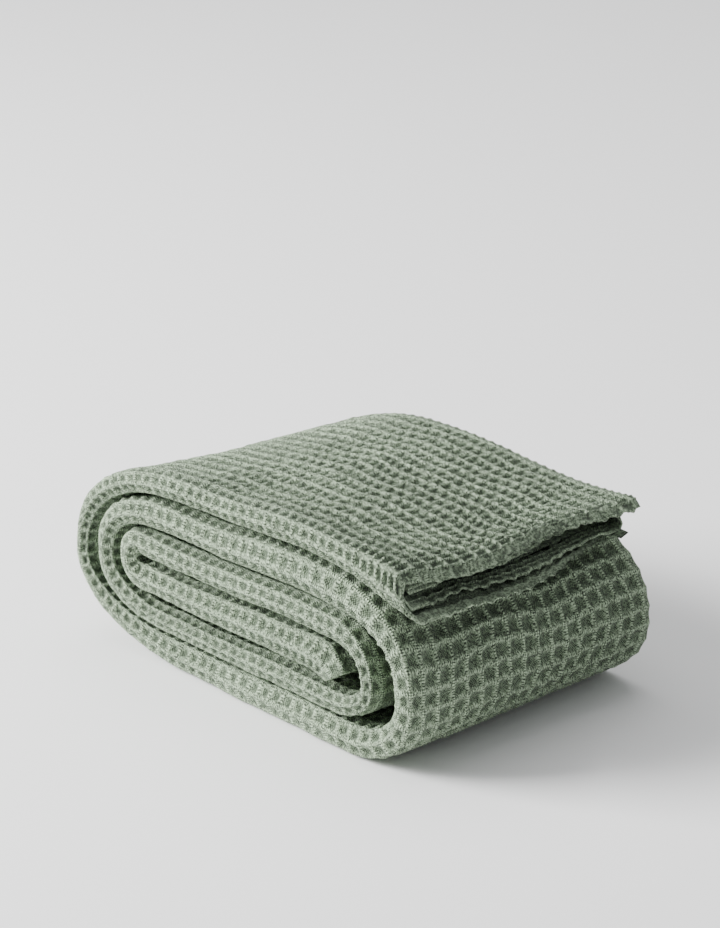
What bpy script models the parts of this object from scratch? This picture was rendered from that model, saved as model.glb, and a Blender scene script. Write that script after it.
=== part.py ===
"""A waffle weave cotton blanket, folded lengthwise in six and rolled up flat, lying on its underside."""

import math

import bmesh
import bpy
import numpy as np

# All sizes in metres. X runs along the length of the roll, Y along its axis, Z is up.
ROLL_WIDTH = 0.298  # front fold to back folds
CLOTH_THICKNESS = 0.0024
HEM_THICKNESS = 0.0030  # the hem at each end of the strip is turned cloth
HEM_WIDTH = 0.012
FIRST_END_X = 0.226  # where the outer end of the strip stops
END_DROP = 0.019  # how far that end hangs below its run
END_DROP_LENGTH = 0.122
END_LIFT_AT_BACK = 0.010  # the back corner of the end hangs less
END_WAVE = 0.006  # the outer edge waves in and out by this much
END_WAVE_TURN = 9.0  # radians of that wave over the width of the roll
FIRST_END_STAGGER = 0.032  # the top ply stops this much short of the lowest one
LAST_END_STAGGER = 0.026  # the same at the inner end
STAGGER_LENGTH = 0.13
BACK_HEIGHT_SHARE = 0.905  # the back of the roll is lower than the front rim
RIM_LENGTH = 0.055  # the rim stands proud over this much of the width
RIM_RISE = 0.03
SWAY_SHARE = 0.018  # slow waves in the height, as a share of it
SWAY_LENGTH = 0.31
SWAY_TWIST = 2.2
BACK_TAPER = 0.03  # the right end draws in towards the back
EDGE_WAVE = 0.0025  # the long free edges wave by this much
EDGE_WAVE_LENGTH = 0.11
EDGE_WAVE_SECOND = 2.6  # the second, weaker wave is this much shorter
HEM_STEP = 0.0015  # the hem's thickness runs out over this length
TURN_WEIGHT = 1.5  # how strongly a turn draws the stations together
FLAT_SLAB = 0.1  # thickness of the flat sheet before it is folded, only to tell its two faces apart
COTTON_COLOUR = (0.27, 0.34, 0.25, 1.0)

# Level runs of the strip, from its outer end to its inner end.
# name, height of its middle, thickness of the six plies where it starts and where it ends, x where it ends
RUNS = (
    ("top outer", 0.1805, 0.0275, 0.0270, -0.075),
    ("bottom outer", 0.01500, 0.0300, 0.0300, 0.133),
    ("top middle", 0.1455, 0.0375, 0.0310, -0.100),
    ("bottom middle", 0.0435, 0.0215, 0.0215, 0.112),
    ("top inner", 0.1110, 0.0250, 0.0260, -0.147),
    ("bottom inner", 0.0765, 0.0300, 0.0345, 0.130),
)
# Turns between those runs.
# name, x of the tip, height of the tip, thickness there, squareness before the tip and after, x of the next run
TURNS = (
    ("left outer", -0.2290, 0.0800, 0.0162, 2.1, 2.2, -0.075),
    ("right outer", 0.2030, 0.0710, 0.0255, 2.1, 2.3, 0.104),
    ("left middle", -0.1960, 0.0880, 0.0205, 2.35, 2.3, -0.108),
    ("right middle", 0.1590, 0.0720, 0.0162, 2.2, 2.2, 0.112),
    ("left inner", -0.1642, 0.0937, 0.0255, 2.0, 2.0, -0.147),
)
# The outer end fans open: distance from the end, thickness of the six plies.
FANNED_END = ((0.0, 0.0410), (0.125, 0.0275))

# Height of each ply in the stack in order across the cloth, counted in ply spacings from the middle.
PLY_LEVELS = (-2.5, 2.5, 1.5, -1.5, -0.5, 0.5)
TOP_LEVEL = 2.5
# How far each ply is drawn in at the outer end and at the inner end.
FIRST_RECESS = (0.0, 0.0, 0.003, 0.020, 0.024, 0.022)
LAST_RECESS = (0.0, 0.0, 0.010, 0.020, 0.024, 0.020)
# How far short of the back each free edge and fold stops, in that same order.
BACK_INSETS = (0.007, 0.0, 0.003, 0.010)
PLY_SHARES = (0.0, 0.18, 1.0)  # places of the section points along a ply, front to back
FRONT_TURN_STEPS = (6, 4, 4)
BACK_TURN_STEPS = 4

# Stations along the strip.
RUN_STATIONS = (7, 3, 3, 3, 3, 3)
TURN_STATIONS = (12, 10, 8, 7, 6)
SAMPLES_PER_PIECE = 400


def quarter_turn(x_run, z_run, x_tip, z_tip, squareness, leaving):
    """Points of a quarter turn from a level run to its tip, or from the tip to the next run."""
    angle = np.linspace(0, math.pi / 2, SAMPLES_PER_PIECE)
    x = x_run + (x_tip - x_run) * np.sin(angle) ** (2 / squareness)
    z = z_tip + (z_run - z_tip) * np.cos(angle) ** (2 / squareness)
    points = np.stack([x, z], axis=1)
    return points[::-1] if leaving else points


def strip_path():
    """The middle line of the strip as points, the arc length at each, and the joints between its pieces."""
    pieces = []
    x_start = FIRST_END_X
    for index, (_, height, _, _, x_end) in enumerate(RUNS):
        x = np.linspace(x_start, x_end, SAMPLES_PER_PIECE)
        drop = np.zeros_like(x)
        if index == 0:
            share = np.clip((x - FIRST_END_X) / END_DROP_LENGTH + 1, 0, 1)
            drop = END_DROP * share**2
        pieces.append(np.stack([x, height - drop], axis=1))
        if index < len(TURNS):
            _, x_tip, z_tip, _, before, after, x_next = TURNS[index]
            pieces.append(quarter_turn(x_end, height, x_tip, z_tip, before, False))
            pieces.append(quarter_turn(x_next, RUNS[index + 1][1], x_tip, z_tip, after, True))
            x_start = x_next
    points = pieces[0]
    joints = [0, len(points) - 1]
    for piece in pieces[1:]:
        points = np.concatenate([points, piece[1:]])
        joints.append(len(points) - 1)
    steps = np.linalg.norm(np.diff(points, axis=0), axis=1)
    length = np.concatenate([[0], np.cumsum(steps)])
    return points, length, length[joints]


def eased(x, anchors, values):
    """Values that pass level through each anchor and ease from one to the next."""
    index = np.clip(np.searchsorted(anchors, x) - 1, 0, len(anchors) - 2)
    share = np.clip((x - anchors[index]) / (anchors[index + 1] - anchors[index]), 0, 1)
    share = share * share * (3 - 2 * share)
    return values[index] + (values[index + 1] - values[index]) * share


def thickness_anchors(joints):
    """Arc length and strip thickness where each is known: the fanned end, both ends of each run, each tip."""
    anchors = [place for place, _ in FANNED_END]
    values = [thickness for _, thickness in FANNED_END]
    for index, (_, _, thickness_start, thickness_end, _) in enumerate(RUNS):
        if index > 0:
            anchors.append(joints[3 * index])
            values.append(thickness_start)
        anchors.append(joints[3 * index + 1])
        values.append(thickness_end)
        if index < len(TURNS):
            anchors.append(joints[3 * index + 2])
            values.append(TURNS[index][3])
    return np.array(anchors), np.array(values)


def stations(points, length, joints):
    """Arc lengths of the stations: even along runs, closer together where a turn is sharper."""
    found = [0.0, HEM_WIDTH, HEM_WIDTH + HEM_STEP]
    end_of_cloth = length[-1] - HEM_WIDTH - HEM_STEP
    slope = np.gradient(points, axis=0)
    direction = np.unwrap(np.arctan2(slope[:, 1], slope[:, 0]))
    for index, count in enumerate(RUN_STATIONS):
        start, end = joints[3 * index], joints[3 * index + 1]
        found += list(np.linspace(max(start, found[2]), min(end, end_of_cloth), count + 1)[1:])
        if index < len(TURNS):
            inside = (length >= end) & (length <= joints[3 * index + 3])
            along = length[inside] - end
            turned = np.abs(direction[inside] - direction[inside][0])
            measure = along / along[-1] + TURN_WEIGHT * turned / turned[-1]
            marks = np.linspace(0, measure[-1], TURN_STATIONS[index] + 1)[1:]
            found += list(end + np.interp(marks, measure, along))
    return np.array(found + [length[-1] - HEM_WIDTH, length[-1]])


def section_points():
    """The folded section of the cloth in order: kind of point, its ply, and its share of that ply or turn."""
    rows = []
    last = len(PLY_LEVELS) - 1
    for ply in range(last + 1):
        to_front = ply % 2 == 0
        shares = reversed(PLY_SHARES) if to_front else PLY_SHARES
        rows += [("ply", ply, share) for share in shares]
        if ply < last:
            steps = FRONT_TURN_STEPS[ply // 2] if to_front else BACK_TURN_STEPS
            kind = "front" if to_front else "back"
            rows += [(kind, ply, step / steps) for step in range(1, steps)]
    return rows


def back_of(ply, spacing, arc):
    """Where a ply stops at the back: a free edge, or the middle of its fold."""
    place = (ply + 1) // 2
    if place in (0, len(BACK_INSETS) - 1):
        phase = arc / EDGE_WAVE_LENGTH
        wave = math.sin(phase + ply) + math.sin(EDGE_WAVE_SECOND * phase) / 2
        return ROLL_WIDTH / 2 - BACK_INSETS[place] - EDGE_WAVE * wave
    return ROLL_WIDTH / 2 - BACK_INSETS[place] - (spacing + CLOTH_THICKNESS) / 2


def of_ply(values, row):
    """A value given for each ply, eased round the folds between plies."""
    kind, ply, share = row
    if kind == "ply":
        return values[ply]
    return values[ply] + (values[ply + 1] - values[ply]) * share * share * (3 - 2 * share)


def place_in_section(row, side, spacing, thickness, arc):
    """Position across the roll and height in the stack of one section point, on one face of the cloth."""
    kind, ply, share = row
    level = PLY_LEVELS[ply]
    offset = side * thickness / 2 * (-1 if ply % 2 == 0 else 1)
    y_front = TOP_LEVEL * spacing + CLOTH_THICKNESS / 2 - ROLL_WIDTH / 2
    y_back = back_of(ply, spacing, arc)
    if kind == "ply":
        return y_front + (y_back - y_front) * share, level * spacing + offset
    other = PLY_LEVELS[ply + 1]
    rising = 1 if other > level else -1
    distance = abs(other - level) / 2 * spacing - offset * rising
    height = (level + other) / 2 * spacing - rising * distance * math.cos(math.pi * share)
    reach = distance * math.sin(math.pi * share)
    return (y_front - reach if kind == "front" else y_back + reach), height


def settle(x, y, z):
    """Height once the roll has sunk under its own weight: lower at the back, proud at the front rim."""
    across = min(max((y + ROLL_WIDTH / 2) / ROLL_WIDTH, 0), 1)
    near_rim = max(0, 1 - across * ROLL_WIDTH / RIM_LENGTH)
    rim = RIM_RISE * near_rim * near_rim * (3 - 2 * near_rim)
    slope = 1 - RIM_RISE - (1 - RIM_RISE - BACK_HEIGHT_SHARE) * across
    sway = SWAY_SHARE * math.sin(2 * math.pi * x / SWAY_LENGTH + SWAY_TWIST * across)
    return z * (slope + rim + sway)


class RolledStrip:
    """The folded strip wound along its path."""

    def __init__(self):
        self.points, self.length, self.joints = strip_path()
        self.anchors, self.values = thickness_anchors(self.joints)
        self.tangent = np.gradient(self.points, axis=0)
        self.total = self.length[-1]

    def cloth_thickness(self, arc):
        in_hem = min(arc, self.total - arc) <= HEM_WIDTH + HEM_STEP / 2
        return HEM_THICKNESS if in_hem else CLOTH_THICKNESS

    def place(self, row, arc, side):
        """A point of the cloth in space, from its section point, its arc length and its face."""
        strip = float(eased(np.array([arc]), self.anchors, self.values)[0])
        spacing = (strip - CLOTH_THICKNESS) / (2 * TOP_LEVEL)
        y, height = place_in_section(row, side, spacing, self.cloth_thickness(arc), arc)
        stacked = (height / spacing + TOP_LEVEL) / (2 * TOP_LEVEL)
        across = (y + ROLL_WIDTH / 2) / ROLL_WIDTH
        near_first = max(0, 1 - arc / STAGGER_LENGTH) ** 2
        near_last = max(0, 1 - (self.total - arc) / STAGGER_LENGTH) ** 2
        wave = END_WAVE * math.sin(END_WAVE_TURN * across + 2 * stacked)
        drawn_in = FIRST_END_STAGGER * stacked + of_ply(FIRST_RECESS, row) + wave
        along = arc + near_first * drawn_in
        along -= near_last * (LAST_END_STAGGER * stacked + of_ply(LAST_RECESS, row))
        x, z, step_x, step_z = (
            float(np.interp(along, self.length, line)) for line in (*self.points.T, *self.tangent.T)
        )
        size = math.hypot(step_x, step_z)
        x += height * step_z / size
        z -= height * step_x / size
        z += END_LIFT_AT_BACK * across * near_first
        x -= BACK_TAPER * max(0, x) * across
        return x, y, settle(x, y, z)


def main():
    for thing in list(bpy.data.objects):
        bpy.data.objects.remove(thing, do_unlink=True)
    strip = RolledStrip()
    rows = section_points()
    arcs = stations(strip.points, strip.length, strip.joints)
    slab = bmesh.new()
    bmesh.ops.create_grid(slab, x_segments=len(rows) - 1, y_segments=len(arcs) - 1, size=0.5)
    bmesh.ops.solidify(slab, geom=slab.faces[:], thickness=FLAT_SLAB)
    middle = sum(vertex.co.z for vertex in slab.verts) / len(slab.verts)
    for vertex in slab.verts:
        row = rows[round((vertex.co.x + 0.5) * (len(rows) - 1))]
        arc = arcs[round((vertex.co.y + 0.5) * (len(arcs) - 1))]
        vertex.co = strip.place(row, arc, 1 if vertex.co.z > middle else -1)
    for axis in range(2):
        low = min(vertex.co[axis] for vertex in slab.verts)
        high = max(vertex.co[axis] for vertex in slab.verts)
        for vertex in slab.verts:
            vertex.co[axis] -= (low + high) / 2
    bmesh.ops.recalc_face_normals(slab, faces=slab.faces[:])
    if slab.calc_volume(signed=True) < 0:
        bmesh.ops.reverse_faces(slab, faces=slab.faces[:])
    mesh = bpy.data.meshes.new("blanket")
    slab.to_mesh(mesh)
    slab.free()
    mesh.shade_smooth()
    blanket = bpy.data.objects.new("blanket", mesh)
    collection = bpy.data.collections.new("waffle_blanket")
    bpy.context.scene.collection.children.link(collection)
    collection.objects.link(blanket)
    cotton = bpy.data.materials.new("sage cotton")
    cotton.use_nodes = True
    shader = cotton.node_tree.nodes["Principled BSDF"]
    shader.inputs["Base Color"].default_value = COTTON_COLOUR
    shader.inputs["Roughness"].default_value = 0.9
    shader.inputs["Metallic"].default_value = 0.0
    mesh.materials.append(cotton)


main()
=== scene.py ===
# A waffle weave cotton blanket, folded lengthwise in six and rolled up flat, on a pale studio floor.
import math

import bpy
import numpy as np
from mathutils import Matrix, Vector


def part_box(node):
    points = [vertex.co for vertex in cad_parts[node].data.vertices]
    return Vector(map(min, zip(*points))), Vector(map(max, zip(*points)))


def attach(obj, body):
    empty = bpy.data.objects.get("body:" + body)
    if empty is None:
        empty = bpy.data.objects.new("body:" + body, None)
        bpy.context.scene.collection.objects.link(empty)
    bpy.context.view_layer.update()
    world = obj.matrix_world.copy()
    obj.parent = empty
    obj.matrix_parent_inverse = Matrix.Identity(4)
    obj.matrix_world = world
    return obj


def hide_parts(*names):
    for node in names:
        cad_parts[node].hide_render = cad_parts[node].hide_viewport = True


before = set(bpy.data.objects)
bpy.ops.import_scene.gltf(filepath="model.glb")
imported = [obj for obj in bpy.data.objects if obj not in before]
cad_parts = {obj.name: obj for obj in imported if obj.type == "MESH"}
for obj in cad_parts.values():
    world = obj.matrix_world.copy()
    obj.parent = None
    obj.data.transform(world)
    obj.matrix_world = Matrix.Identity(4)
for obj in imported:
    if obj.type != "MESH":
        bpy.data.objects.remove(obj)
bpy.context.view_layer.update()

# The roll. Lengths in metres. X runs along the roll, Y along its axis with the front rims at -Y, Z is up.
# "First" is the outer end of the strip, loose on top, and "last" its inner end.
roll = {
    "width": 0.298,  # front fold to back folds
    "clothThickness": 0.0024,
    "foldAllowance": 0.0175,  # what the folds take from the flat length of a ply
    "samplesPerPiece": 400,  # points on each run and each quarter turn of the path
    # level runs: height, thickness of the six plies at the start and at the end, x where the run ends
    "runs": (
        (0.1805, 0.0275, 0.0270, -0.075),
        (0.0150, 0.0300, 0.0300, 0.133),
        (0.1455, 0.0375, 0.0310, -0.100),
        (0.0435, 0.0215, 0.0215, 0.112),
        (0.1110, 0.0250, 0.0260, -0.147),
        (0.0765, 0.0300, 0.0345, 0.130),
    ),
    # turns: x and height of the tip, thickness there, squareness before and after, x of the next run
    "turns": (
        (-0.2290, 0.0800, 0.0162, 2.1, 2.2, -0.075),
        (0.2030, 0.0710, 0.0255, 2.1, 2.3, 0.104),
        (-0.1960, 0.0880, 0.0205, 2.35, 2.3, -0.108),
        (0.1590, 0.0720, 0.0162, 2.2, 2.2, 0.112),
        (-0.1642, 0.0937, 0.0255, 2.0, 2.0, -0.147),
    ),
    "fannedEnd": ((0.0, 0.0410), (0.125, 0.0275)),  # distance from the outer end, thickness there
    # the six plies in order across the cloth: height in the stack, counted in gaps from its middle
    "plyLevels": (-2.5, 2.5, 1.5, -1.5, -0.5, 0.5),
    "backInsets": (0.007, 0.0, 0.003, 0.010),  # edge, two folds and edge stop this far short of the back
    "edgeWave": 0.0025,  # how far the two long edges wave
    "edgeWaveLength": 0.11,
    # how the whole roll has settled
    "backHeightShare": 0.905,  # the back is lower than the front
    "rimRise": 0.03,  # the front rim stands proud by this share
    "rimLength": 0.055,  # over this distance behind it the rise fades
    "swayShare": 0.018,  # slow rise and fall along the roll
    "swayLength": 0.31,
    "swayTwist": 2.2,
    "backTaper": 0.03,  # the back is shorter by this share
    # the outer end
    "firstEndX": 0.226,
    "endDrop": 0.019,  # how far it hangs below its run
    "endDropLength": 0.122,
    "endLiftAtBack": 0.010,
    "lipDrop": 0.0085,  # its hem curls down
    "lipLength": 0.022,
    "endWave": 0.006,  # how far the ends of the plies wave
    "endInset": 0.014,  # how much further its lower plies stop short of the back
    "lowestDrawnIn": 0.055,  # how much more the lowest ply is drawn in towards the back
    # at both ends each ply is drawn in, and at the outer end the plies part
    "staggerLength": 0.13,  # all of it fades over this length
    "firstEndStagger": 0.032,
    "firstRecess": (0.0, 0.0, 0.003, 0.020, 0.024, 0.022),
    "firstParting": (0.25, 0.0, 0.55, 0.30, 0.30, 0.45),  # in gaps, up the stack
    "lastEndStagger": 0.026,
    "lastRecess": (0.0, 0.0, 0.010, 0.020, 0.024, 0.020),
    "recessAtFront": 0.25,  # share of the recess that is left at the front folds
    # the inner end is pinched into a rounded nose that sinks onto the wrap below
    "noseSqueeze": 0.50,
    "noseDrop": 0.011,
    "noseLength": 0.035,
    # the hems
    "hemWidth": 0.0115,
    "hemGap": 0.0032,  # between the two layers of a turned hem
    "hemRounding": 0.0012,
    "ripple": 0.0012,  # the end hems ripple with the ribs of the weave
    "rippleLength": 0.0155,
    "hemReach": 0.03,  # ripples and rounded corners fade over this length
    "cornerDrawnIn": 0.010,  # the back corners of the outer end are rounded off
    "cornerWidth": 0.07,  # share of the roll's width
    "floorClearance": 0.0002,  # it lies flat on the floor
}

# The waffle: counts and sizes of its cells and of the relief that the weave gives them.
waffle = {
    "cellWidth": 0.0164,  # across the cloth
    "cellsOnRim": 3.1,  # cells round the front fold
    "rimPhase": 0.56,  # where the front fold starts in its first cell
    "rimCellExtra": 0.0035,  # the first cells behind the rim are wider by up to this much
    "rimCellFade": 1.6,
    "broadFade": 2.2,  # cells behind the rim over which the ridges lose their rim breadth
    # pitch of the cells along the strip at places along it: stretched round the tight turns
    "lengthPlaces": (0.0, 0.303, 0.45, 0.688, 0.896, 0.950, 1.137, 1.20, 2.6),
    "lengthPitches": (0.0115, 0.0118, 0.0125, 0.0138, 0.0150, 0.0157, 0.0157, 0.0128, 0.0124),
    # how finely the cloth is divided, and where
    "columnsPerCell": 5,
    "rowsShown": 5,  # per cell, where the cloth is outermost
    "rowsInside": 4,
    "rowsUnderneath": 2,
    "fineUntil": 1.165,  # length of strip on which the outer ply carries its cells in full
    "rimCellsShown": 2.0,  # cells past the rim that the inner wraps show
    "backCellsShown": 0.6,  # cells before the back fold that they show
    "carriedCells": (7.4, 10.6, 15),  # where a column goes on, plain, over the hidden rest of that ply
    "endColumns": 54,  # columns over each inner ply, where it shows at the outer end
    "endShown": 0.034,
    "lowestCells": 15,  # cells of the lowest ply, which shows them near the outer end
    "lowestShown": 0.055,
    "lowestShares": (0.13, 0.93),  # share of the ply that they take
    "lowestCarried": (20, 55),  # columns of them that go on, plain, to the inner end
    "underRim": (  # cell and share of the lowest ply, under the front fold
        (-1.6, 0.12), (-1.2, 0.095), (-0.8, 0.07), (-0.4, 0.045), (0.0, 0.028), (0.4, 0.008),
    ),
    "floorStretch": (0.03, 0.02),  # the stretch on the floor starts and ends this far inside its run
    # the cells wander a little on the open faces
    "wanderAcross": 0.0030,
    "wanderAlong": 0.0022,
    "wanderLength": 0.13,
    "wanderStart": 0.05,  # it grows over this length from the outer end
    "jitter": 0.0007,
    # relief
    "ridgeHeight": 0.0011,
    "pitDepth": 0.0029,
    "lengthRidgeReach": 0.28,  # how far the slope of a ridge along the strip reaches into its cell
    "crossRidgeReach": 0.32,
    "rimRidgeReach": 0.40,  # the same on the rims, where both are pulled broad
    "ridgeSkew": 0.16,  # how unevenly the ridges run, in cells
    "scallop": 0.05,  # sag of the cross ridges in the middle of a cell, in cells
    "unevenness": 0.0022,
    "swell": 0.0075,  # slow hollows and rises of the whole sheet
    "skewScale": 130,  # how fine these are: the larger, the finer
    "unevennessScale": 70,
    "swellScale": 9,
    "roughDetail": 2,
    "ridgeBlend": 0.25,  # how softly two ridges meet
    "hemRibs": 0.60,  # share of the relief on the end hems, at the back folds and on the inner plies
    "backRelief": 0.30,
    "backFall": 0.8,  # how fast it falls to that, per cell
    "innerRelief": 0.8,
    "seed": 7.3,
}

topLevel = max(roll["plyLevels"])
plyGaps = 2 * topLevel
plyLength = roll["width"] - roll["foldAllowance"]
wholeLength = 9.0  # longer than any strip: a column that never ends


def eased(share):
    share = np.clip(share, 0, 1)
    return share * share * (3 - 2 * share)


def blended(first, last, share):
    return first + (last - first) * share


def easedBetween(x, anchors, values):
    anchors, values = np.asarray(anchors, float), np.asarray(values, float)
    index = np.clip(np.searchsorted(anchors, x) - 1, 0, len(anchors) - 2)
    share = (x - anchors[index]) / (anchors[index + 1] - anchors[index])
    return blended(values[index], values[index + 1], eased(share))


def quarterTurn(xRun, zRun, xTip, zTip, squareness, leaving):
    # A squared-off quarter of an ellipse, from the run to the tip, or from the tip to the run.
    angle = np.linspace(0, math.pi / 2, roll["samplesPerPiece"])
    x = xRun + (xTip - xRun) * np.sin(angle) ** (2 / squareness)
    z = zTip + (zRun - zTip) * np.cos(angle) ** (2 / squareness)
    points = np.stack([x, z], axis=1)
    return points[::-1] if leaving else points


def stripPath():
    # The middle line of the folded strip, its arc lengths and the joints between its pieces.
    pieces = []
    xStart = roll["firstEndX"]
    for index, (height, _, _, xEnd) in enumerate(roll["runs"]):
        x = np.linspace(xStart, xEnd, roll["samplesPerPiece"])
        drop = np.zeros_like(x)
        if index == 0:
            share = np.clip((x - roll["firstEndX"]) / roll["endDropLength"] + 1, 0, 1)
            drop = roll["endDrop"] * share**2
        pieces.append(np.stack([x, height - drop], axis=1))
        if index < len(roll["turns"]):
            xTip, zTip, _, before, after, xNext = roll["turns"][index]
            pieces.append(quarterTurn(xEnd, height, xTip, zTip, before, False))
            pieces.append(quarterTurn(xNext, roll["runs"][index + 1][0], xTip, zTip, after, True))
            xStart = xNext
    points = pieces[0]
    joints = [0, len(points) - 1]
    for piece in pieces[1:]:
        points = np.concatenate([points, piece[1:]])
        joints.append(len(points) - 1)
    steps = np.linalg.norm(np.diff(points, axis=0), axis=1)
    length = np.concatenate([[0], np.cumsum(steps)])
    return points, length, length[joints]


def thicknessAnchors(joints):
    # Where along the path the thickness of the six plies is given, and what it is there.
    anchors = [place for place, _ in roll["fannedEnd"]]
    values = [thickness for _, thickness in roll["fannedEnd"]]
    for index, (_, thickStart, thickEnd, _) in enumerate(roll["runs"]):
        if index > 0:
            anchors.append(joints[3 * index])
            values.append(thickStart)
        anchors.append(joints[3 * index + 1])
        values.append(thickEnd)
        if index < len(roll["turns"]):
            anchors.append(joints[3 * index + 2])
            values.append(roll["turns"][index][2])
    return anchors, values


path, pathLength, pathJoints = stripPath()
pathTangent = np.gradient(path, axis=0)
stripLength = pathLength[-1]
thickPlaces, thickValues = thicknessAnchors(pathJoints)


def nearEnds(arc, length):
    # 1 at the outer end and at the inner end, falling to 0 at this length from it.
    return np.clip(1 - arc / length, 0, 1), np.clip(1 - (stripLength - arc) / length, 0, 1)


def backOf(ply, spacing, arc):
    # Where a ply stops at the back: a free edge, or the middle of its fold.
    place = (ply + 1) // 2
    back = roll["width"] / 2 - roll["backInsets"][place]
    topFold = place == 1
    if not topFold:
        back = back - roll["endInset"] * nearEnds(arc, roll["staggerLength"])[0] ** 2
    if place in (0, 3):
        turn = arc / roll["edgeWaveLength"]
        return back - roll["edgeWave"] * (np.sin(turn + ply) + np.sin(2.6 * turn) / 2)
    return back - (spacing + roll["clothThickness"]) / 2


def ofPly(values, column):
    # A value given for each ply, eased round the folds between plies.
    ply = column["ply"]
    if column["kind"] == "ply":
        return values[ply]
    return blended(values[ply], values[ply + 1], eased(column["share"]))


def placeInSection(column, arc, spacing, lift, parting):
    # Place across the roll and height in the stack. lift is how far the point stands off the middle of
    # the cloth, towards the face that is outermost on the roll.
    kind, ply, share, inward = column["kind"], column["ply"], column["share"], column["inward"]
    levels = [level + parting * shift for level, shift in zip(roll["plyLevels"], roll["firstParting"])]
    level = levels[ply]
    offset = lift * (-1 if ply % 2 == 0 else 1)  # every second ply lies face down
    yFront = topLevel * spacing + roll["clothThickness"] / 2 - roll["width"] / 2
    yBack = backOf(ply, spacing, arc)
    if kind == "ply":
        return yFront + (yBack - yFront) * share - inward, level * spacing + offset
    other = levels[ply + 1]
    rising = 1 if roll["plyLevels"][ply + 1] > roll["plyLevels"][ply] else -1
    distance = np.abs(other - level) / 2 * spacing - offset * rising
    height = (level + other) / 2 * spacing - rising * distance * math.cos(math.pi * share)
    reach = distance * math.sin(math.pi * share)
    return (yFront - reach if kind == "front" else yBack + reach), height


def acrossRoll(y):
    # 0 at the front fold, 1 at the back.
    return (y + roll["width"] / 2) / roll["width"]


def settle(x, y, z):
    # The roll has sunk under its own weight: lower at the back, proud at the front rim.
    across = np.clip(acrossRoll(y), 0, 1)
    rim = roll["rimRise"] * eased(1 - across * roll["width"] / roll["rimLength"])
    slope = blended(1 - roll["rimRise"], roll["backHeightShare"], across)
    sway = roll["swayShare"] * np.sin(2 * math.pi * x / roll["swayLength"] + roll["swayTwist"] * across)
    return z * (slope + rim + sway)


def wander(across, arc):
    # The rows and columns of cells wander a little, more on the open faces than at folds and ends. The
    # waves only have to be out of step with each other.
    free = np.clip(across * 6, 0, 1) * np.clip((1 - across) * 8, 0, 1)
    free = free * np.clip(arc / waffle["wanderStart"], 0, 1)
    turn = 2 * math.pi / waffle["wanderLength"]
    drift = np.sin(turn * arc + 3.1 * across) + 0.5 * np.sin(1.9 * turn * arc - 5 * across + 1)
    creep = np.sin(9 * across + 5 * arc) + 0.6 * np.sin(17 * across - 11 * arc)
    sideways = waffle["wanderAcross"] * drift
    sideways = sideways + waffle["jitter"] * np.sin(151 * arc + 43 * np.sin(20 * across))
    lengthwise = waffle["wanderAlong"] * creep
    lengthwise = lengthwise + waffle["jitter"] * np.sin(97 * across + 5 * np.sin(61 * arc))
    return free * sideways, free * lengthwise


def drawnIn(column, across, stacked, arc):
    # How far along the strip a point lies from its arc length, because the plies stop short at both ends.
    nearFirst, nearLast = (near**2 for near in nearEnds(arc, roll["staggerLength"]))
    recess = blended(roll["recessAtFront"], 1, eased(across * 3.5))
    first = roll["firstEndStagger"] * stacked + recess * ofPly(roll["firstRecess"], column)
    first = first + roll["endWave"] * np.sin(9 * across + 2 * stacked)
    if column["ply"] == 0:
        first = first + roll["lowestDrawnIn"] * across**2 * np.clip(1 - stacked * 4, 0, 1)
    last = roll["lastEndStagger"] * stacked + recess * ofPly(roll["lastRecess"], column)
    corner = np.clip((across - 1) / roll["cornerWidth"] + 1, 0, 1) ** 2
    corner = roll["cornerDrawnIn"] * corner * nearEnds(arc, roll["hemReach"])[0]
    return nearFirst * first - nearLast * last + corner


def hemRipple(column, y, across, arc):
    # How far the end hems ripple up the stack and along the strip.
    near = np.maximum(*nearEnds(arc, roll["hemReach"])) * np.clip(across * 9, 0, 1)
    turn = 2 * math.pi * y / roll["rippleLength"]
    ply = column["ply"]
    rise = np.sin(turn + ply) + 0.8 * np.sin(0.37 * turn + 2 * ply)
    return near * roll["ripple"] * rise, near * roll["ripple"] * np.cos(turn + ply)


def placeOnRoll(column, arc, lift):
    # Points of one column of the cloth, for arrays of arc lengths and of lift.
    nearFirst = nearEnds(arc, roll["staggerLength"])[0] ** 2
    nose = nearEnds(arc, roll["noseLength"])[1] ** 2
    strip = easedBetween(arc, thickPlaces, thickValues)
    spacing = (strip - roll["clothThickness"]) / plyGaps * (1 - roll["noseSqueeze"] * nose)
    y, height = placeInSection(column, arc, spacing, lift, nearFirst)
    stacked = (height / spacing + topLevel) / plyGaps
    across = acrossRoll(y)
    sideways, lengthwise = wander(across, arc)
    y = y + sideways
    along = arc + lengthwise + drawnIn(column, across, stacked, arc)
    x, z, stepX, stepZ = (np.interp(along, pathLength, line) for line in (*path.T, *pathTangent.T))
    size = np.hypot(stepX, stepZ)
    rise, slip = hemRipple(column, y, across, arc)
    height = height + rise
    x = x + (height * stepZ + slip * stepX) / size
    z = z + (slip * stepZ - height * stepX) / size
    lip = nearEnds(arc, roll["lipLength"])[0] ** 2 * np.clip(stacked, 0, 1) ** 2
    z = z + roll["endLiftAtBack"] * across * nearFirst - roll["lipDrop"] * lip - roll["noseDrop"] * nose
    x = x - roll["backTaper"] * np.clip(x, 0, None) * across
    return np.stack([x, y, settle(x, y, z)], axis=-1)


def cellTable():
    # Cells counted from the hem along the strip, at fine steps of arc length.
    arc = np.linspace(0, stripLength, 8000)
    pitch = np.interp(arc, waffle["lengthPlaces"], waffle["lengthPitches"])
    cells = np.concatenate([[0], np.cumsum(np.diff(arc) / ((pitch[1:] + pitch[:-1]) / 2))])
    return arc, cells - np.interp(roll["hemWidth"], arc, cells)


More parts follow.
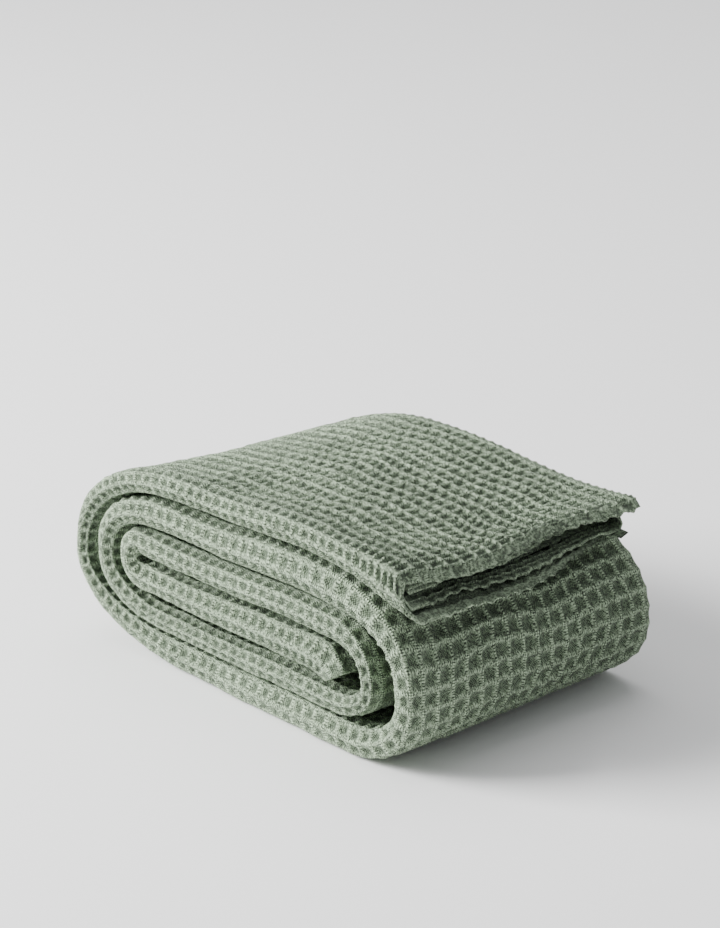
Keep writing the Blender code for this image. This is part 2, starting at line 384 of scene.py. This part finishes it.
def acrossTable():
    # Share of the outer ply reached at each cell count behind the rim.
    count = np.linspace(0, 30, 3001)
    width = waffle["cellWidth"] + waffle["rimCellExtra"] * np.exp(-count / waffle["rimCellFade"])
    reached = np.concatenate([[0], np.cumsum((width[1:] + width[:-1]) / 2 * np.diff(count))])
    return count, reached


def col(kind, ply, share, cell=0.0, relief=0.0, lift=0.0, inward=0.0, broad=0.0, until=wholeLength):
    # share runs along the ply or round the fold, cell counts the cells across the cloth, and until is the
    # arc length at which this column ends, where the cloth goes on hidden and plain.
    return {
        "kind": kind, "ply": ply, "share": share, "cell": cell, "relief": relief,
        "lift": lift, "inward": inward, "broad": broad, "until": until, "plainFrom": wholeLength,
    }


def carry(column):
    # This column goes on all along the strip, but without its cells from where its neighbours end.
    column["plainFrom"] = column["until"]
    column["until"] = wholeLength


def hemColumns(ply):
    # A long hem, from the cut edge turned inwards to the cloth itself.
    gap, hem, bend = roll["hemGap"], roll["hemWidth"], roll["hemRounding"]
    section = ((-gap, hem), (-gap * 0.95, bend), (-gap / 2, 0.0), (0.0, bend), (0.0, hem))
    return [col("ply", ply, 1.0, lift=lift, inward=inward) for lift, inward in section]


def lowestColumns():
    # The lowest ply shows its cells only near its outer end.
    perCell, shown = waffle["columnsPerCell"], waffle["lowestShown"]
    first, last = waffle["lowestShares"]
    count = waffle["lowestCells"] * perCell
    start = waffle["underRim"][0][0]
    columns = []
    for step in range(count, 0, -1):
        share = blended(first, last, step / count)
        columns.append(col("ply", 0, share, start - step / perCell, 1.0, until=shown))
        if step in waffle["lowestCarried"]:
            carry(columns[-1])
    for cell, share in waffle["underRim"]:
        columns.append(col("ply", 0, share, cell, min(1.0, 0.5 * cell + 1.2), broad=0.6))
    return columns


def outerColumns():
    # Round the front fold, over the outer ply and round the back fold.
    perCell, phase, faint = waffle["columnsPerCell"], waffle["rimPhase"], waffle["backRelief"]
    rimEnd = phase + waffle["cellsOnRim"]
    count, reached = acrossTable()
    lastCell = rimEnd + float(np.interp(plyLength, reached, count))
    columns = []
    for step in range(math.ceil(phase * perCell + 0.01), math.floor(lastCell * perCell) + 1):
        cell = step / perCell
        behind = cell - rimEnd
        if behind < 0:
            columns.append(col("front", 0, (cell - phase) / waffle["cellsOnRim"], cell, 1.0, broad=1.0))
            continue
        share = float(np.interp(behind, count, reached)) / plyLength
        relief = max(faint, min(1.0, (lastCell - cell) * waffle["backFall"] + faint))
        broad = max(0.0, 1 - behind / waffle["broadFade"])
        columns.append(col("ply", 1, share, cell, relief, broad=broad))
        # Columns out on the ply are kept only where the cloth is outermost.
        if behind < waffle["rimCellsShown"] or cell > lastCell - waffle["backCellsShown"]:
            continue
        columns[-1]["until"] = waffle["fineUntil"]
        if any(abs(cell - carried) < 0.5 / perCell for carried in waffle["carriedCells"]):
            carry(columns[-1])
    for share in (0.2, 0.5, 0.8):
        columns.append(col("back", 1, share, lastCell + share * 0.5, faint, broad=0.6))
    return columns + [col("ply", 2, 1.0, lastCell + 0.5, faint), col("ply", 2, 0.97, lastCell + 0.9)]


def endColumns(ply, first, last):
    # The inner plies show their cells only near the outer end: from there on three columns carry them.
    count = waffle["endColumns"]
    columns = []
    for step in range(count + 1):
        share = blended(first, last, step / count)
        cell = plyLength * share / waffle["cellWidth"]
        columns.append(col("ply", ply, share, cell, waffle["innerRelief"], until=waffle["endShown"]))
        if step in (0, count // 2, count):
            carry(columns[-1])
    return columns


def innerColumns():
    # The four plies inside the stack and the folds between them.
    faint = waffle["backRelief"]
    columns = endColumns(2, 0.94, 0.05)
    columns += [col("front", 2, share) for share in (0.2, 0.5, 0.8)]
    columns += endColumns(3, 0.05, 0.95)
    columns += [col("ply", 3, 1.0, 0.3, -faint)]
    columns += [col("back", 3, share, 0.3 + share / 3, -faint) for share in (0.3, 0.7)]
    columns += [col("ply", 4, 1.0, 0.7, -faint)]
    columns += endColumns(4, 0.95, 0.10)
    columns += [col("front", 4, share) for share in (0.25, 0.5, 0.75)]
    return columns + endColumns(5, 0.10, 0.92)


def clothColumns():
    # Every column across the cloth, from one long hem to the other.
    return hemColumns(0) + lowestColumns() + outerColumns() + innerColumns() + hemColumns(5)[::-1]


def rowsPerCell(arc):
    # Most rows where the cloth is outermost, fewest where it lies on the floor.
    floorStart = pathJoints[3] + waffle["floorStretch"][0]
    floorEnd = pathJoints[4] - waffle["floorStretch"][1]
    if floorStart < arc < floorEnd:
        return waffle["rowsUnderneath"]
    if arc <= pathJoints[1] or floorEnd <= arc < waffle["fineUntil"]:
        return waffle["rowsShown"]
    return waffle["rowsInside"]


def clothRows():
    # Arc length, cells along, lift and relief of each row, from one end's hem to the other's.
    arcs, cells = cellTable()
    gap, hem, ribs = roll["hemGap"], roll["hemWidth"], waffle["hemRibs"]
    # Place, lift, cells along and relief. The lengthwise ridges run on over the hem, lower.
    hemRows = (
        (hem, -gap, -0.5, 0),
        (0.006, -gap, -0.5, -0.6 * ribs),
        (0.0010, -0.9 * gap, -0.5, -0.6 * ribs),
        (0.0, -gap / 2, -0.5, 0),
        (0.0008, -0.1 * gap, -0.5, 0.6 * ribs),
        (0.0050, 0.0, -0.5, ribs),
        (0.0085, -0.0003, -0.45, ribs),
        (hem - 0.0014, -0.0006, -0.25, 0.6),
    )
    rows = [(place, cell, lift, relief) for place, lift, cell, relief in hemRows]
    last = float(np.interp(stripLength - hem, arcs, cells))
    finest = 20  # steps in a cell, which the row counts all divide
    cell = 0.0
    while cell < last - 0.2:
        arc = float(np.interp(cell, cells, arcs))
        rows.append((arc, cell, 0.0, 1.0))
        cell = round(cell * finest + finest / rowsPerCell(arc)) / finest
    last = math.ceil(rows[-1][1])
    for place, lift, cell, relief in reversed(hemRows):
        rows.append((stripLength - place, last - cell, lift, relief))
    return rows


def yarnsAcross(grid):
    # Distance across the cloth, in cells, so that the yarns keep their pitch.
    steps = np.linalg.norm(np.diff(grid, axis=1), axis=2).mean(axis=0)
    return np.concatenate([[0], np.cumsum(steps)])[None, :] / waffle["cellWidth"]


def clothFaces(arc, until):
    # Faces of the grid, each with four corners, some of them twice. Columns end where the cloth goes on
    # hidden: there the last row with more columns is drawn together.
    down, across = len(arc), len(until)
    index = np.arange(down * across).reshape(down, across)
    active = until[None, :] > np.append(arc[1:], arc[-1])[:, None]
    target = index.copy()
    for row in range(down):
        kept = np.flatnonzero(active[row])
        nearest = kept[np.argmin(np.abs(kept[:, None] - np.arange(across)), axis=0)]
        target[row] = index[row][nearest]
    faces = []
    for row in range(down - 1):
        run = np.flatnonzero(active[row])
        a, b = target[row][run[:-1]], target[row][run[1:]]
        c, d = target[row + 1][run[1:]], target[row + 1][run[:-1]]
        faces.append(np.stack([a, b, c, d], axis=1))
    return np.concatenate(faces)


def centre(points):
    # The roll is centred where its solid is.
    low, high = (np.array(corner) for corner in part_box("blanket"))
    for axis in (0, 1):
        points[:, axis] += (low[axis] + high[axis] - points[:, axis].min() - points[:, axis].max()) / 2


def clothMesh(points, faces, values, yarns):
    # The mesh with its attributes, and the weave's own map, on which one unit is one cell.
    polygons = [list(dict.fromkeys(face)) for face in faces.tolist()]
    mesh = bpy.data.meshes.new("blanketCloth")
    mesh.from_pydata(points.tolist(), [], [corners for corners in polygons if len(corners) > 2])
    mesh.validate()
    for name, value in values.items():
        attribute = mesh.attributes.new(name, "FLOAT", "POINT")
        attribute.data.foreach_set("value", value.astype(np.float32))
    weave = mesh.uv_layers.new(name="weave")
    loops = np.empty(len(mesh.loops), np.int32)
    mesh.loops.foreach_get("vertex_index", loops)
    weave.data.foreach_set("uv", yarns[loops].astype(np.float32).reshape(-1))
    return mesh


def buildCloth():
    columns, rows = clothColumns(), clothRows()
    shape = len(rows), len(columns)
    arc, cellAlong, lift, rowRelief = (np.array(value) for value in zip(*rows))
    grid = np.stack([placeOnRoll(column, arc, lift + column["lift"]) for column in columns], axis=1)
    relief = np.outer(rowRelief, [column["relief"] for column in columns])
    relief[arc[:, None] > np.array([column["plainFrom"] for column in columns])] = 0
    faces = clothFaces(arc, np.array([column["until"] for column in columns]))
    used = np.unique(faces)
    faces = np.searchsorted(used, faces)
    points = grid.reshape(-1, 3)[used]
    centre(points)
    values = {
        "cellAcross": np.array([column["cell"] for column in columns]),
        "cellAlong": cellAlong[:, None],
        "relief": relief,
        "broad": np.array([column["broad"] for column in columns]),
    }
    values = {name: np.broadcast_to(value, shape).reshape(-1)[used] for name, value in values.items()}
    # The yarns run on evenly over the hems.
    yarns = np.zeros((*shape, 2))
    yarns[:, :, 0] = yarnsAcross(grid)
    yarns[:, :, 1] = np.interp(arc, *cellTable())[:, None]
    mesh = clothMesh(points, faces, values, yarns.reshape(-1, 2)[used])
    cloth = bpy.data.objects.new("blanketCloth", mesh)
    bpy.context.scene.collection.objects.link(cloth)
    print("cloth base:", len(rows), "rows,", len(columns), "columns,", len(mesh.polygons), "faces")
    return cloth


class NodeBench:
    # Short helpers for laying nodes and joining them.

    def __init__(self, tree):
        self.tree = tree
        self.column = 0

    def add(self, kind, **settings):
        node = self.tree.nodes.new(kind)
        self.column += 1
        node.location = (180 * (self.column % 12), -220 * (self.column // 12))
        for name, value in settings.items():
            setattr(node, name, value)
        return node

    def join(self, source, target):
        self.tree.links.new(source, target)

    def feed(self, socket, value):
        if isinstance(value, bpy.types.NodeSocket):
            self.join(value, socket)
        else:
            socket.default_value = value

    def math(self, operation, first, second=None, third=None):
        node = self.add("ShaderNodeMath", operation=operation)
        for socket, value in zip(node.inputs, (first, second, third)):
            if value is not None:
                self.feed(socket, value)
        return node.outputs[0]

    def smooth(self, value, low, high, first=0.0, second=1.0):
        node = self.add("ShaderNodeMapRange", interpolation_type="SMOOTHSTEP")
        names = ("Value", "From Min", "From Max", "To Min", "To Max")
        for name, item in zip(names, (value, low, high, first, second)):
            self.feed(node.inputs[name], item)
        return node.outputs[0]


def treeInput(tree, name, kind):
    return tree.interface.new_socket(name, in_out="INPUT", socket_type="NodeSocket" + kind)


# The relief tree's inputs, and the values of the waffle that they take.
reliefInputs = (
    ("Ridge Height", "ridgeHeight"),
    ("Pit Depth", "pitDepth"),
    ("Length Ridge Reach", "lengthRidgeReach"),
    ("Rim Ridge Reach", "rimRidgeReach"),
    ("Cross Ridge Reach", "crossRidgeReach"),
    ("Scallop", "scallop"),
    ("Ridge Skew", "ridgeSkew"),
    ("Unevenness", "unevenness"),
    ("Swell", "swell"),
    ("Seed", "seed"),
)


def waffleTree(material):
    # Raises the cloth into square cells: ridges along the cell borders, pits between them.
    tree = bpy.data.node_groups.new("waffleRelief", "GeometryNodeTree")
    treeInput(tree, "Geometry", "Geometry")
    tree.interface.new_socket("Geometry", in_out="OUTPUT", socket_type="NodeSocketGeometry")
    settings = {}
    for name, key in reliefInputs:
        socket = treeInput(tree, name, "Float")
        socket.default_value = waffle[key]
        settings[socket.identifier] = waffle[key]
    settings[treeInput(tree, "Cloth Material", "Material").identifier] = material
    bench = NodeBench(tree)
    given = bench.add("NodeGroupInput")
    result = bench.add("NodeGroupOutput")

    def named(name):
        node = bench.add("GeometryNodeInputNamedAttribute", data_type="FLOAT")
        node.inputs["Name"].default_value = name
        return node.outputs[0]

    cellAcross, cellAlong = named("cellAcross"), named("cellAlong")
    relief, broad = named("relief"), named("broad")
    position = bench.add("GeometryNodeInputPosition")

    def rough(scale, amount):
        noise = bench.add("ShaderNodeTexNoise", noise_dimensions="4D")
        bench.join(position.outputs[0], noise.inputs["Vector"])
        bench.feed(noise.inputs["W"], given.outputs["Seed"])
        noise.inputs["Scale"].default_value = scale
        noise.inputs["Detail"].default_value = waffle["roughDetail"]
        return bench.math("MULTIPLY", bench.math("SUBTRACT", noise.outputs["Fac"], 0.5), amount)

    # Each cross ridge sags a little in the middle of its cell, as the floats there are longer.
    wave = bench.math("COSINE", bench.math("MULTIPLY", cellAcross, 2 * math.pi))
    bent = bench.math("MULTIPLY_ADD", wave, given.outputs["Scallop"], cellAlong)
    skew = rough(waffle["skewScale"], given.outputs["Ridge Skew"])
    fromAcross = bench.math("PINGPONG", bench.math("ADD", cellAcross, skew), 0.5)
    fromAlong = bench.math("PINGPONG", bench.math("SUBTRACT", bent, skew), 0.5)

    def reachOf(name):
        spread = bench.math("SUBTRACT", given.outputs["Rim Ridge Reach"], given.outputs[name])
        return bench.math("MULTIPLY_ADD", broad, spread, given.outputs[name])

    ridgeAcross = bench.smooth(fromAcross, 0.0, reachOf("Length Ridge Reach"), 1.0, 0.0)
    ridgeAlong = bench.smooth(fromAlong, 0.0, reachOf("Cross Ridge Reach"), 1.0, 0.0)
    ridge = bench.add("ShaderNodeMath", operation="SMOOTH_MAX")
    bench.feed(ridge.inputs[0], ridgeAcross)
    bench.feed(ridge.inputs[1], ridgeAlong)
    ridge.inputs[2].default_value = waffle["ridgeBlend"]
    total = bench.math("ADD", given.outputs["Ridge Height"], given.outputs["Pit Depth"])
    height = bench.math("MULTIPLY", ridge.outputs[0], total)
    height = bench.math("SUBTRACT", height, given.outputs["Pit Depth"])
    height = bench.math("ADD", height, rough(waffle["unevennessScale"], given.outputs["Unevenness"]))
    height = bench.math("ADD", height, rough(waffle["swellScale"], given.outputs["Swell"]))
    lifted = bench.math("MULTIPLY", relief, height)
    normal = bench.add("GeometryNodeInputNormal")
    move = bench.add("ShaderNodeVectorMath", operation="SCALE")
    bench.join(normal.outputs[0], move.inputs[0])
    bench.join(lifted, move.inputs["Scale"])
    place = bench.add("GeometryNodeSetPosition")
    bench.join(given.outputs["Geometry"], place.inputs["Geometry"])
    bench.join(move.outputs[0], place.inputs["Offset"])
    real = bench.add("GeometryNodeRealizeInstances")
    bench.join(place.outputs[0], real.inputs[0])
    paint = bench.add("GeometryNodeSetMaterial")
    bench.join(real.outputs[0], paint.inputs["Geometry"])
    bench.join(given.outputs["Cloth Material"], paint.inputs["Material"])
    bench.join(paint.outputs[0], result.inputs[0])
    return tree, settings


# The cotton's colour, with painted shade darkening its pits, its sheen and yarns. Depths are in metres,
# shades are shares of the colour.
cotton = {
    "ridgeColour": (0.262, 0.335, 0.227, 1),
    # painted shade: the colour deep in the pits, darkened for the shade that falls there
    "paintedPitShade": (0.094, 0.127, 0.081, 1),
    "roughness": 0.92,
    "specular": 0.2,
    "sheen": 0.20,
    "sheenRoughness": 0.5,
    "sheenTint": (0.85, 0.95, 0.82, 1),
    "yarnsPerCell": 7,
    "yarnDepth": 0.00050,
    "yarnShade": 0.90,
    "floatShare": 0.7,  # how far the long floats take over on the ridges
    "trembleScale": 260,  # yarns and ridges are not quite straight
    "tremble": 0.22,  # by this much of a cell
    "fuzzScale": 450,
    "fuzzDepth": 0.0012,
    "fuzzShade": 0.46,
    "fuzzRange": (0.40, 0.60),  # part of the noise that goes from dark to light
    "mottleScale": 22,  # slow changes of tone over the whole cloth
    "mottleShade": 0.22,
    "ridgeDepth": 0.0009,
    "ridgeEdge": 0.02,  # where a ridge's colour starts to fade, in cells
    "ridgeReach": 0.25,  # where it ends
    "rimReachExtra": 0.09,
    "crossReachExtra": 0.03,
    "plainLevel": 0.8,  # colour of cloth without cells, from pit to ridge
    "darkest": 0.15,  # share of its own colour that the darkest gap between yarns keeps
}


def cottonMaterial():
    material = bpy.data.materials.new("sageCotton")
    material.use_nodes = True
    tree = material.node_tree
    bench = NodeBench(tree)
    shader = tree.nodes["Principled BSDF"]
    shader.inputs["Roughness"].default_value = cotton["roughness"]
    shader.inputs["Sheen Weight"].default_value = cotton["sheen"]
    shader.inputs["Sheen Roughness"].default_value = cotton["sheenRoughness"]
    shader.inputs["Sheen Tint"].default_value = cotton["sheenTint"]
    shader.inputs["Specular IOR Level"].default_value = cotton["specular"]
    weave = bench.add("ShaderNodeUVMap", uv_map="weave")
    split = bench.add("ShaderNodeSeparateXYZ")
    bench.join(weave.outputs[0], split.inputs[0])
    across, along, relief, broad = (
        bench.add("ShaderNodeAttribute", attribute_name=name).outputs["Fac"]
        for name in ("cellAcross", "cellAlong", "relief", "broad")
    )
    coordinates = bench.add("ShaderNodeTexCoord")

    def noiseOf(scale, detail):
        node = bench.add("ShaderNodeTexNoise")
        bench.join(coordinates.outputs["Object"], node.inputs["Vector"])
        node.inputs["Scale"].default_value = scale
        node.inputs["Detail"].default_value = detail
        return node.outputs["Fac"]

    # Where the ridges run. Neither they nor the yarns are quite straight.
    tremble = noiseOf(cotton["trembleScale"], 2)
    shift = bench.math("MULTIPLY", bench.math("SUBTRACT", tremble, 0.5), cotton["tremble"])
    half = bench.math("MULTIPLY", shift, 0.5)
    acrossYarn = bench.math("ADD", split.outputs[0], half)
    alongYarn = bench.math("ADD", split.outputs[1], half)
    wave = bench.math("COSINE", bench.math("MULTIPLY", across, 2 * math.pi))
    bent = bench.math("MULTIPLY_ADD", wave, waffle["scallop"], along)
    fromAcross = bench.math("PINGPONG", bench.math("ADD", across, shift), 0.5)
    fromAlong = bench.math("PINGPONG", bench.math("ADD", bent, shift), 0.5)
    edge, plainLevel = cotton["ridgeEdge"], cotton["plainLevel"]
    reach = bench.math("MULTIPLY_ADD", broad, cotton["rimReachExtra"], cotton["ridgeReach"])
    crossReach = bench.math("ADD", reach, cotton["crossReachExtra"])
    ridgeAcross = bench.smooth(fromAcross, edge, reach, 1.0, 0.0)
    ridgeAlong = bench.smooth(fromAlong, edge, crossReach, 1.0, 0.0)
    ridge = bench.math("MAXIMUM", ridgeAcross, ridgeAlong)
    hasCells = bench.smooth(bench.math("ABSOLUTE", relief), 0.1, 0.6)
    ridge = bench.math("MULTIPLY_ADD", bench.math("SUBTRACT", ridge, plainLevel), hasCells, plainLevel)
    # Yarns: both sets show in the pits, floats along one direction on the ridges.
    yarns = cotton["yarnsPerCell"] * 2 * math.pi
    warp = bench.math("SINE", bench.math("MULTIPLY", acrossYarn, yarns))
    weft = bench.math("SINE", bench.math("MULTIPLY", alongYarn, yarns))
    plain = bench.math("MULTIPLY", warp, weft)
    weftFloats = bench.math("MULTIPLY", weft, ridgeAcross)
    warpFloats = bench.math("MULTIPLY", warp, ridgeAlong)
    overPlain = bench.math("SUBTRACT", bench.math("ADD", weftFloats, warpFloats), plain)
    onRidge = bench.math("MULTIPLY", ridge, cotton["floatShare"])
    yarn = bench.math("MULTIPLY_ADD", overPlain, onRidge, plain)
    fuzz = noiseOf(cotton["fuzzScale"], 1)
    mottle = noiseOf(cotton["mottleScale"], 3)
    # Colour: the pits take a darker colour, painted shade for the occlusion deep in the cells, and the
    # ridges the cloth's own colour
    mix = bench.add("ShaderNodeMix", data_type="RGBA")
    bench.join(ridge, mix.inputs["Factor"])
    # the ridge mask blends from the painted pit shade to the ridge colour
    mix.inputs["A"].default_value = cotton["paintedPitShade"]
    mix.inputs["B"].default_value = cotton["ridgeColour"]
    tone = bench.math("MULTIPLY_ADD", yarn, cotton["yarnShade"], 1.0)
    speckle = bench.smooth(fuzz, *cotton["fuzzRange"], -1.0, 1.0)
    tone = bench.math("MULTIPLY_ADD", speckle, cotton["fuzzShade"], tone)
    tone = bench.math("MULTIPLY_ADD", bench.math("SUBTRACT", mottle, 0.5), cotton["mottleShade"], tone)
    tone = bench.math("MAXIMUM", tone, cotton["darkest"])
    shade = bench.add("ShaderNodeVectorMath", operation="SCALE")
    bench.join(mix.outputs["Result"], shade.inputs[0])
    bench.join(tone, shade.inputs["Scale"])
    bench.join(shade.outputs[0], shader.inputs["Base Color"])
    # Bump
    lift = bench.math("MULTIPLY", yarn, cotton["yarnDepth"])
    lift = bench.math("MULTIPLY_ADD", fuzz, cotton["fuzzDepth"], lift)
    lift = bench.math("MULTIPLY_ADD", ridge, cotton["ridgeDepth"], lift)
    bump = bench.add("ShaderNodeBump")
    bump.inputs["Strength"].default_value = 1.0
    bump.inputs["Distance"].default_value = 1.0
    bench.join(lift, bump.inputs["Height"])
    bench.join(bump.outputs[0], shader.inputs["Normal"])
    return material


def raiseWaffle(cloth, material):
    tree, settings = waffleTree(material)
    modifier = cloth.modifiers.new("waffleRelief", "NODES")
    modifier.node_group = tree
    for identifier, value in settings.items():
        modifier[identifier] = value
    graph = bpy.context.evaluated_depsgraph_get()
    raised = cloth.evaluated_get(graph)
    mesh = bpy.data.meshes.new_from_object(raised, preserve_all_data_layers=True, depsgraph=graph)
    cloth.modifiers.remove(modifier)
    cloth.data = mesh
    mesh.name = "blanketCloth"
    if not mesh.materials:
        mesh.materials.append(material)
    mesh.shade_smooth()
    points = np.empty(len(mesh.vertices) * 3, np.float32)
    mesh.vertices.foreach_get("co", points)
    points[2::3] = np.maximum(points[2::3], roll["floorClearance"])
    mesh.vertices.foreach_set("co", points)
    mesh.update()
    print("waffle raised:", len(mesh.polygons), "faces")


cloth = buildCloth()
raiseWaffle(cloth, cottonMaterial())
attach(cloth, "root")
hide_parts("blanket")

studio = {
    "floorSize": 30.0,
    "floorColour": (0.93, 0.93, 0.925, 1),
    "floorRoughness": 0.9,
    "floorSpecular": 0.1,
    "skyColour": (0.96, 0.97, 1.0, 1),
    "skyStrength": 0.46,
    "keyPlace": (-2.4, -2.6, 1.95),
    "keySize": 2.0,
    "keyPower": 520.0,
    "topPlace": (-1.3, 0.7, 4.0),
    "topSize": 4.0,
    "topPower": 92.0,
    "lightAim": (0, 0, 0.1),
    "viewPlace": (2.1439, -1.9308, 1.2951),
    "viewTilt": 69,  # degrees up from straight down
    "viewTurn": 48,
    "lens": 174.3,
    "sensorWidth": 36,
    "viewEnd": 100,
}


def lookFrom(thing, place, target):
    thing.location = place
    thing.rotation_euler = (Vector(target) - Vector(place)).to_track_quat("-Z", "Y").to_euler()


def buildFloor():
    half = studio["floorSize"] / 2
    corners = [(-half, -half, 0), (half, -half, 0), (half, half, 0), (-half, half, 0)]
    mesh = bpy.data.meshes.new("studioFloor")
    mesh.from_pydata(corners, [], [(0, 1, 2, 3)])
    floor = bpy.data.objects.new("studioFloor", mesh)
    bpy.context.scene.collection.objects.link(floor)
    paper = bpy.data.materials.new("palePaper")
    paper.use_nodes = True
    shader = paper.node_tree.nodes["Principled BSDF"]
    shader.inputs["Base Color"].default_value = studio["floorColour"]
    shader.inputs["Roughness"].default_value = studio["floorRoughness"]
    shader.inputs["Specular IOR Level"].default_value = studio["floorSpecular"]
    mesh.materials.append(paper)
    return floor


def buildLights():
    world = bpy.data.worlds.new("studioLight")
    world.use_nodes = True
    background = world.node_tree.nodes["Background"]
    background.inputs["Color"].default_value = studio["skyColour"]
    background.inputs["Strength"].default_value = studio["skyStrength"]
    bpy.context.scene.world = world
    for name in ("key", "top"):
        light = bpy.data.lights.new(name + "Softbox", "AREA")
        light.shape = "SQUARE"
        light.size = studio[name + "Size"]
        light.energy = studio[name + "Power"]
        softbox = bpy.data.objects.new(name + "Softbox", light)
        bpy.context.scene.collection.objects.link(softbox)
        lookFrom(softbox, studio[name + "Place"], studio["lightAim"])


def buildView():
    camera = bpy.data.cameras.new("mainView")
    camera.sensor_fit = "HORIZONTAL"
    camera.sensor_width = studio["sensorWidth"]
    camera.lens = studio["lens"]
    camera.clip_end = studio["viewEnd"]
    view = bpy.data.objects.new("mainView", camera)
    view.location = studio["viewPlace"]
    view.rotation_euler = (math.radians(studio["viewTilt"]), 0, math.radians(studio["viewTurn"]))
    bpy.context.scene.collection.objects.link(view)
    bpy.context.scene.camera = view


floor = buildFloor()
buildLights()
buildView()
print("studio ready")
